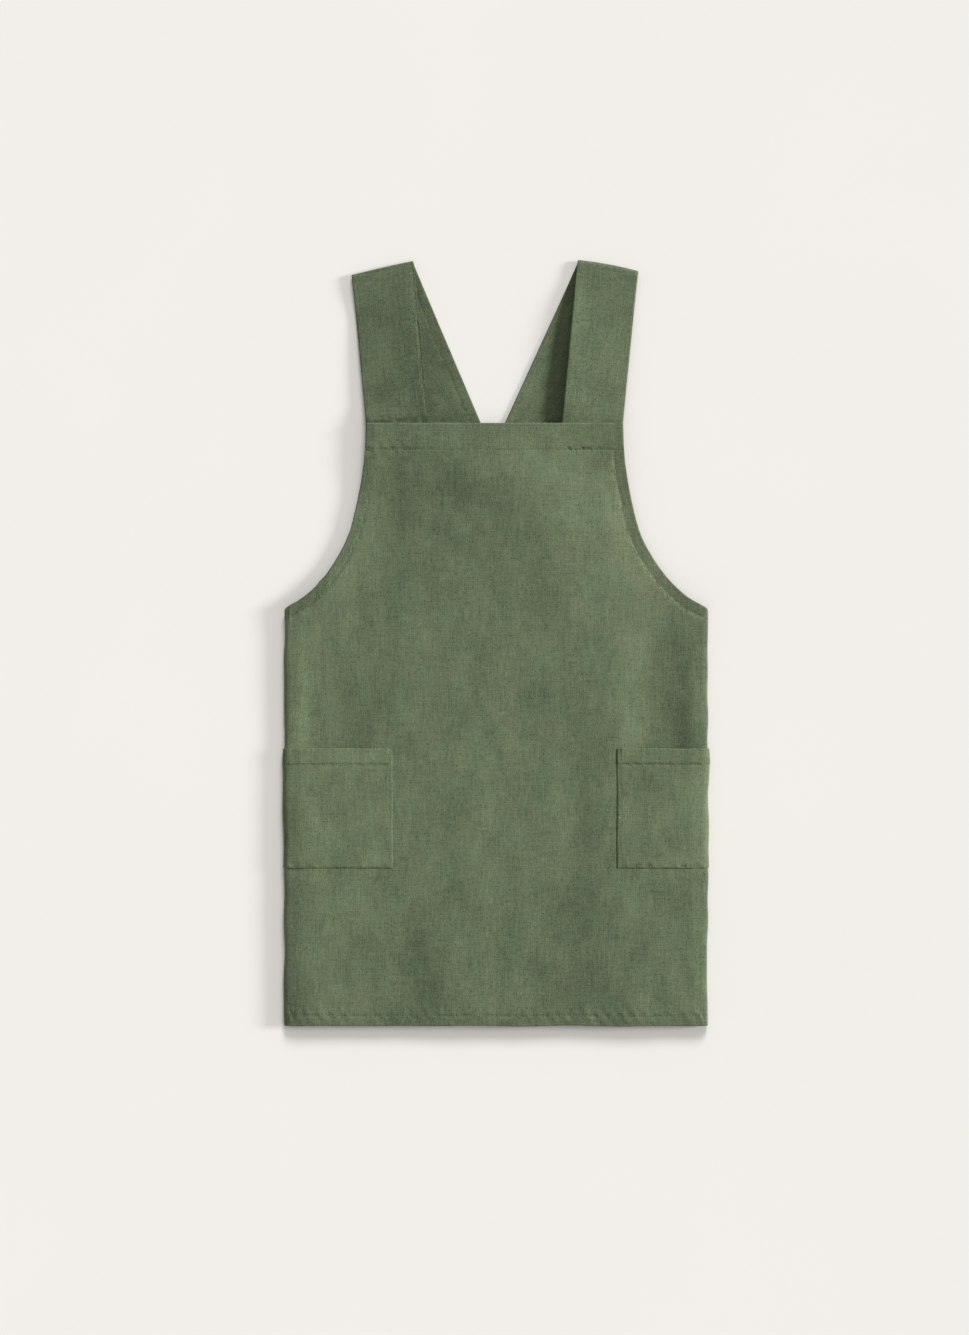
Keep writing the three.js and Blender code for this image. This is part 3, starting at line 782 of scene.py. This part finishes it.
# Straps
# Each strap is a band of the linen folded lengthwise, sewn along its inner edge and turned right
# side out. It is sewn in behind the bib, folds over at the shoulder and crosses to the other wing.
strap_thickness = 2.4
shoulder_spread = 271.0
shoulder_rise = 186.7
crease_height = 10.0
crease_reach = 1.9
crease_run_out = 26.0
laid_crease_height = 7.0
front_slope = 1.3
propped_edge = 16.0
# Width of the painted shadow along a strap's inner edge
rim_shadow_width = 1.6
seat_margin = 3.0
seat_overlap = 11.0
seat_clear = 2.0
bib_seat_overlap = 28.0
crossing_margin = 8.0
crossing_ramp = 34.0
seat_ramp = 14.0
front_creases, back_creases = 0.65, 0.4
front_stations, crease_stations, back_stations = 30, 12, 90

# What differs from strap to strap. The painted shade, seam and press hold a value for the front run and one
# for the back run, and swing is how far the back run lies aside at the bib's top. The painted shade darkens
# both runs of the left strap, its back run most, rim paints a shadow along its front run's inner edge, and
# foot paints a shadow where it leaves the bib.
strap_rows = {
    -1: {"word": "left", "width": 75.6, "out": 0.993, "rise": 0.992, "tilt": 13.0, "over": False, "bow": 0.5,
         "lean": 4.0, "propped": 0.0, "swing": 3.4, "wash": (-0.09, -0.2), "rim": -0.4, "foot_shadow": -0.6,
         "seam": (1.7, 11.0), "press": (1.5, 0.4)},
    1: {"word": "right", "width": 73.0, "out": 1.007, "rise": 1.008, "tilt": -10.5, "over": True, "bow": 1.6,
        "lean": 1.8, "propped": 3.6, "swing": -1.6, "wash": (-0.03, -0.03), "rim": 0.0, "foot_shadow": -0.1,
        "seam": (8.4, 8.4), "press": (0.2, 0.2)},
}


def half_along(width, run, line_angle):
    """Half of a strap's width, measured along a line at an angle to its run."""
    return width / 2 / abs(np.sin(np.arctan2(run[1], run[0]) - line_angle))


def strap_places(side):
    """Where a strap is sewn to the bib, creased at the shoulder and sewn to the other wing."""
    row = strap_rows[side]
    width, tilt = row["width"], np.radians(row["tilt"])
    crease = np.array([bib_shift + side * row["out"] * shoulder_spread / 2,
                       body_length + row["rise"] * shoulder_rise])
    across = np.array([np.cos(tilt), np.sin(tilt)])
    corner_x = bib_shift + side * bib_width / 2
    rise = np.array([crease[0] - corner_x + side * width / 2, crease[1] - body_length])
    bib_half = half_along(width, rise, 0)
    bib_seat = np.array([corner_x - side * bib_half, body_length])
    wing = -side
    corner = np.array([wing * back_gap / 2 - skirt_shift + wing * seat_margin,
                       wing_top(np.array([wing * back_edge[wing]]))[0]])
    fall = np.array([corner[0] + wing * width / 2 - crease[0], corner[1] - crease[1]])
    seat_half = half_along(width, fall, 0)
    seat = np.array([corner[0] + wing * seat_half, corner[1]])
    crease_half = (half_along(width, crease - bib_seat, tilt) + half_along(width, seat - crease, tilt)) / 2
    over = np.array([-across[1], across[0]])
    axis = crease - over * crease_height / 2
    return {"axis": axis, "across": across, "over": over, "bib_seat": bib_seat, "bib_half": bib_half,
            "seat": seat, "seat_half": seat_half, "crease_half": crease_half}


def strap_crossing():
    """Height at which the two back runs cross, and how far the crossing reaches up and down."""
    slope, start, halves = {}, {}, 0
    for side in (-1, 1):
        p = strap_places(side)
        slope[side] = (p["seat"][0] - p["axis"][0]) / (p["axis"][1] - p["seat"][1])
        start[side] = p["axis"][0] + slope[side] * p["axis"][1]
        halves += p["seat_half"]
    spread = slope[1] - slope[-1]
    return (start[1] - start[-1]) / spread, halves / abs(spread) + crossing_margin


strap_turn = strap_thickness / 2 - ply / 2
quarter = strap_turn * np.pi / 2


def strap_section(c, straight):
    """The folded band's section: place across it and depth below its outer face, for flat
    places c round it from the sewn edge. straight is its flat part between the two edges."""
    ends = [quarter, quarter + straight, 3 * quarter + straight, 3 * quarter + 2 * straight]
    first = np.clip(c / strap_turn, 0, np.pi / 2)
    middle = np.clip((c - ends[1]) / strap_turn, 0, np.pi)
    last = np.clip((c - ends[3]) / strap_turn, 0, np.pi / 2)
    inset = strap_turn + ply / 2
    along = np.clip(c - ends[0], 0, straight) - np.clip(c - ends[2], 0, straight)
    across = (inset + along + strap_turn * np.sin(middle) - strap_turn * np.cos(first) * (c < ends[0])
              - strap_turn * np.sin(last) * (c > ends[3]))
    depth = inset - strap_turn * np.where(c < ends[0], np.sin(first), np.cos(middle))
    depth = np.where(c > ends[3], inset + strap_turn * np.cos(last), depth)
    return across, depth


def strap_stations(side):
    """Stations of one strap: flat distance along it, centre, half width and the way that its outer
    face looks."""
    p, row = strap_places(side), strap_rows[side]
    axis, over = p["axis"], p["over"]
    rise = axis - p["bib_seat"]
    crease_span = p["across"] * p["crease_half"]
    bib_span = np.array([p["bib_half"], 0])
    seat_span = np.array([p["seat_half"], 0])
    bib_level = front_lift - ply_gap
    stations = [(p["bib_seat"] - rise * bib_seat_overlap / rise[1], bib_span, bib_level, (0, 0, 1))]
    for share in np.linspace(0, 1, front_stations):
        height = bib_level + (laid_crease_height - bib_level) * ease(share) ** front_slope
        span = bib_span + (crease_span - bib_span) * share
        stations.append((p["bib_seat"] + rise * share, span, height, (0, 0, 1)))
    radius = laid_crease_height / 2
    for share in np.linspace(0, 1, crease_stations + 2)[1:-1]:
        angle = np.pi * (0.5 - share)
        centre = axis + over * (crease_height / 2) * np.cos(angle)
        way = (over[0] * np.cos(angle), over[1] * np.cos(angle), np.sin(angle))
        stations.append((centre, crease_span, radius + radius * np.sin(angle), way))
    crossing, reach = strap_crossing()
    seat_level = cad_ply + ply_gap
    seat_start = p["seat"][1] + seat_clear
    cross_level = strap_thickness + ply_gap if row["over"] else 0
    cross_low = max(crossing - reach, seat_start + seat_ramp)
    heights = [(axis[1], 0), (crossing + reach + crossing_ramp, 0), (crossing + reach, cross_level),
               (cross_low, cross_level), (seat_start, seat_level), (p["seat"][1] - seat_overlap, seat_level)]
    ys, levels = np.array(heights[::-1]).T
    for y in np.linspace(axis[1], ys[0], back_stations):
        k = np.clip(np.searchsorted(ys, y) - 1, 0, len(ys) - 2)
        level = levels[k] + (levels[k + 1] - levels[k]) * ramp(y, ys[k], ys[k + 1])
        share = (axis[1] - y) / (axis[1] - p["seat"][1])
        span = crease_span + (seat_span - crease_span) * min(1, share)
        down = (axis[1] - y) / (axis[1] - body_length)
        swing = np.array([row["swing"] * down * near(max(0, down - 1), 0.5), 0])
        stations.append((axis + (p["seat"] - axis) * share + swing, span, level, (0, 0, -1)))
    centres = np.array([(c[0], c[1], h) for c, _, h, _ in stations])
    spans = np.array([(s[0], s[1], 0) for _, s, _, _ in stations])
    ways = np.array([way for *_, way in stations], float)
    return lengths_along(centres), centres, spans, ways


for side, row in strap_rows.items():
    width, over = row["width"], strap_places(side)["over"]
    straight = width - ply - 2 * strap_turn
    run, centres, spans, ways = strap_stations(side)
    crease_run = run[front_stations + 1]

    def strap_place(c, a):
        """Places on the strap: c round its section from the sewn edge, a along it."""
        across, depth = strap_section(c, straight)
        from_inner = across / width
        share = 2 * (from_inner if side > 0 else 1 - from_inner) - 1
        wave = 0.5 * crumple(across, a, across=30, up=45, seed=11 + side)
        wave += 0.25 * crumple(across, a, across=11, up=30, seed=17 + side)
        on_front = ramp(a, 30, 60) * ramp(a, crease_run, crease_run - 25)
        on_back = ramp(a, crease_run + 30, crease_run + 60) * ramp(a, run[-1] - 40, run[-1] - 80)
        lift = front_creases * wave * on_front + back_creases * (wave - 0.5) * on_back
        lift = lift * np.where(a < crease_run, 1, -1)
        free = ramp(a, bib_seat_overlap - 1, bib_seat_overlap + 29) * ramp(a, crease_run, crease_run - 60)
        lift += (row["lean"] * (1 - 2 * from_inner) + row["propped"] * near(across, propped_edge)) * free
        bowed = (crease_reach + row["bow"] * (1 - share ** 2)) * near(a - crease_run - 8, crease_run_out)
        places = read_at(a, run, centres) + read_at(a, run, spans) * share[:, None]
        places -= read_at(a, run, ways) * depth[:, None]
        places[:, :2] += over * bowed[:, None]
        places[:, 1] += hem_height
        places[:, 2] = np.maximum(places[:, 2] + lift, lowest)
        return places

    def strap_marks(c, a):
        """The seam along the inner edge, the painted shade of each run and of its inner edge, and the
        painted shadow among the gathers where the strap leaves the bib.
        """
        across, _ = strap_section(c, straight)
        on_front = a < crease_run
        # Painted shade on each run, and a painted shadow along the front run's inner edge
        wash = np.where(on_front, *row["wash"]) + row["rim"] * near(across, rim_shadow_width) * on_front
        # Painted shadow among the gathers at the strap's foot, just above the bib
        gather_shadow = ease(0.5 + 1.2 * crumple(across, a, across=7, up=5, seed=51.7))
        wash += row["foot_shadow"] * gather_shadow * near(a - bib_seat_overlap - 2, 6)
        return {"edge": np.minimum(across, width - across),
                "seam": across - np.where(on_front, *row["seam"]),
                "press": np.where(on_front, *row["press"]), "wash": wash}

    round_it = steps(0.05, 0.4, quarter, 1, quarter + 5, 4.4, quarter + straight - 2, 1,
                     quarter + straight, 0.5, 3 * quarter + straight, 1,
                     3 * quarter + straight + 2, 4.4, 3 * quarter + 2 * straight - 5, 1,
                     3 * quarter + 2 * straight, 0.4, 4 * quarter + 2 * straight - 0.05)
    along = steps(0, 3.5, bib_seat_overlap, 1.5, bib_seat_overlap + 9, 3.5, crease_run - 6, 0.9,
                  crease_run + 20, 3.8, run[-1])
    if side > 0:
        round_it = round_it[::-1]
    word = row["word"]
    band = cut_cloth(f"strap_{word}_cloth", round_it, along, strap_place, strap_marks)
    sewn_in(band, f"strap_{word}", linen(f"strap_linen_{word}"))

# Bib facing
# A straight strip of linen behind the bib's top edge. It takes in the two strap ends, and its
# stitching shows on the front as the line below the band.
facing_cloth = -ply_gap - ply / 2
facing_strap = -(strap_thickness + 2 * ply_gap) - ply / 2
facing_ramp = 6.0
facing_clear = ply_gap + 0.6
facing_press = 0.5
facing_top = body_length - 0.6


def over_straps(x, t):
    """1 where the facing lies over a strap end, 0 where it lies on the cloth."""
    over = np.zeros(x.shape)
    for side in (-1, 1):
        p = strap_places(side)
        lean = (p["axis"][0] - p["bib_seat"][0]) / (p["axis"][1] - p["bib_seat"][1])
        inner = p["bib_seat"][0] + lean * (t - body_length) - side * (p["bib_half"] + facing_clear)
        over = np.maximum(over, ease(1 + side * (x - inner) / facing_ramp))
    return over


def bib_facing_place(x, t):
    """The strip as it lies, stepping over the strap ends."""
    edge = armhole_edge(np.where(x < 0, -1, 1), t) - np.abs(x)
    level = facing_cloth + (facing_strap - facing_cloth) * over_straps(x, t)
    n = level + rolled(edge, 0.3, 1) + rolled(t - facing_foot, 0.2, 0.8)
    return lay(x, t, n + rolled(facing_top - t, 0.25, 1.2))


def bib_facing_shape(x, t):
    """The flat cut, no wider than the bib."""
    return np.sign(x) * np.minimum(np.abs(x), armhole_edge(np.where(x < 0, -1, 1), t)), t


def bib_facing_marks(x, t):
    """Its edges, and the stitching near its foot."""
    return {"edge": np.minimum(t - facing_foot, body_length - t), "seam": facing_foot + 2 - t,
            "press": facing_press}


bib_ends = [-armhole_edge(-1, facing_foot), armhole_edge(1, facing_foot)]
facing = cut_cloth(
    "bib_facing_cloth", steps(bib_ends[0], 0.6, bib_ends[0] + 2, 3, bib_ends[1] - 2, 0.6, bib_ends[1]),
    steps(facing_foot, 0.5, facing_foot + 2, 3, body_length - 3, 0.7, facing_top),
    bib_facing_place, bib_facing_marks, shape=bib_facing_shape)
band_run = np.linspace(bib_ends[0] + 2, bib_ends[1] - 2, 300)
facing_threads = [stitches("band_stitches", on_cloth(band_run, facing_foot)),
                  stitches("bib_top_stitches", on_cloth(band_run * 0.98, body_length - 2.6))]
sewn_in(facing, "bib_facing", linen("bib_facing_linen"), facing_threads)

# Armhole facings
# Narrow strips cut on the bias, which follow the armhole, the side fold and the top of the back
# wing. Their outer edge is sewn to the body's, and their inner edge is turned and stitched down.
for side, word in ((-1, "left"), (1, "right")):
    up = np.linspace(facing_foot - 0.8, fold_top, armhole_points)[:-1]
    reach = steps(bend_start, 1.2, wing_start, 3.5, back_edge[side])
    line = np.concatenate([
        np.stack([side * armhole_edge(side, up), up], -1),
        np.stack([side * reach, wing_top(side * reach)], -1)])
    length = lengths_along(line)
    ahead = np.gradient(line, length, axis=0)
    ahead /= np.linalg.norm(ahead, axis=1)[:, None]
    inward = np.stack([ahead[:, 1], -ahead[:, 0]], -1) * side
    inward[length > length[len(up)]] = (0, -1)
    inward[0] = (-side, 0)
    other = strap_places(-side)
    seat_edge = wing_start + bend_start - side * other["seat"][0] - other["seat_half"] - facing_clear
    seat_lean = abs((other["axis"][0] - other["seat"][0]) / (other["axis"][1] - other["seat"][1]))

    def strip_flat(a, w):
        """Flat places on the body, for a along the strip and w in from its outer edge."""
        way = read_at(a, length, inward)
        way /= np.linalg.norm(way, axis=1)[:, None]
        return read_at(a, length, line) + way * w[:, None]

    def strip_place(w, a):
        """The strip as it lies, stepping over the end of the strap on the wing."""
        flat = strip_flat(a, w)
        on_wing = np.abs(flat[:, 0]) > wing_start
        past = np.abs(flat[:, 0]) - seat_edge + seat_lean * w
        level = facing_cloth + (facing_strap - facing_cloth) * ease(1 + past / facing_ramp) * on_wing
        n = level + rolled(w, 0.35, 1.2) + rolled(armhole_facing_width - w, 0.2, 0.8)
        return lay(flat[:, 0], flat[:, 1], n)

    def strip_marks(w, a):
        """Its edges, and the stitching along the inner one."""
        return {"edge": np.minimum(w, armhole_facing_width - w), "seam": armhole_facing_width - 1.5 - w,
                "press": facing_press}

    widths = steps(0, 0.6, 1.8, 2.5, armhole_facing_width - 1.8, 0.6, armhole_facing_width)
    widths = widths if side > 0 else widths[::-1]
    strip = cut_cloth(f"armhole_facing_{word}_cloth", widths, steps(0, 3, length[-1]),
                      strip_place, strip_marks)
    a = np.linspace(3, length[-1] - 3, 400)
    run_flat = strip_flat(a, np.full(a.shape, armhole_facing_width - 1))
    threads = [stitches(f"armhole_stitches_{word}", on_cloth(run_flat[:, 0], run_flat[:, 1]))]
    sewn_in(strip, f"armhole_facing_{word}", linen(f"armhole_linen_{word}"), threads)

# Table, light and camera
# The apron lies on a pale table in a bright room. A window to the right shapes the cloth, two
# broad lights soften its shadows on the table, and the camera looks straight down.
picture_height = 1602.0
picture_middle = Vector((-13.8, -29.0, 0)) * MM
camera_height = 4.0
sensor = 36.0
room_light = 0.43
table_half = 30.0

paint = Finish("table_paint", Roughness=0.95, Specular_IOR_Level=0.1)
grain = paint.streaks(paint.node("ShaderNodeTexCoord")[3], 300, 300)
floor_colour = paint.blend(grain.between(-2, 2), (0.795, 0.772, 0.737, 1), (0.805, 0.782, 0.747, 1))
bm = bmesh.new()
bmesh.ops.create_grid(bm, x_segments=1, y_segments=1, size=table_half)
table_mesh = bpy.data.meshes.new("table")
bm.to_mesh(table_mesh)
bm.free()
table_mesh.materials.append(paint.done(floor_colour, grain * 0.001))
table = in_scene("table", table_mesh)
table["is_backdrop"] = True

world = bpy.data.worlds.new("room")
world.use_nodes = True
room = world.node_tree.nodes["Background"]
room.inputs["Color"].default_value = (1.0, 0.995, 0.985, 1)
room.inputs["Strength"].default_value = room_light
bpy.context.scene.world = world


def soft_sun(name, toward, elevation, light, spread, lit):
    """A broad distant light that gives a level surface that much light, on those objects alone."""
    data = bpy.data.lights.new(name, "SUN")
    data.energy = light * np.pi / np.sin(np.radians(elevation))
    data.angle = np.radians(spread)
    lamp = in_scene(name, data)
    rise = np.tan(np.radians(elevation)) * np.hypot(*toward)
    lamp.rotation_euler = Vector((*toward, rise)).to_track_quat("Z", "Y").to_euler()
    receivers = bpy.data.collections.new(name)
    for piece in lit:
        receivers.objects.link(piece)
    lamp.light_linking.receiver_collection = receivers


apron_pieces = [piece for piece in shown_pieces() if piece != table]
soft_sun("window", (0.85, 0.5), elevation=23, light=0.68, spread=11, lit=apron_pieces)
soft_sun("table_side_light", (1, 0.1), elevation=19, light=0.28, spread=14, lit=[table])
soft_sun("table_top_light", (0.15, 1), elevation=32, light=0.4, spread=22, lit=[table])

lens = bpy.data.cameras.new("camera")
lens.sensor_width = sensor
lens.lens = sensor * camera_height / (picture_height * MM)
camera = in_scene("camera", lens)
camera.location = picture_middle + Vector((0, 0, camera_height + front_lift * MM))
bpy.context.scene.camera = camera
bpy.context.scene.view_settings.view_transform = "Standard"

bpy.context.view_layer.update()
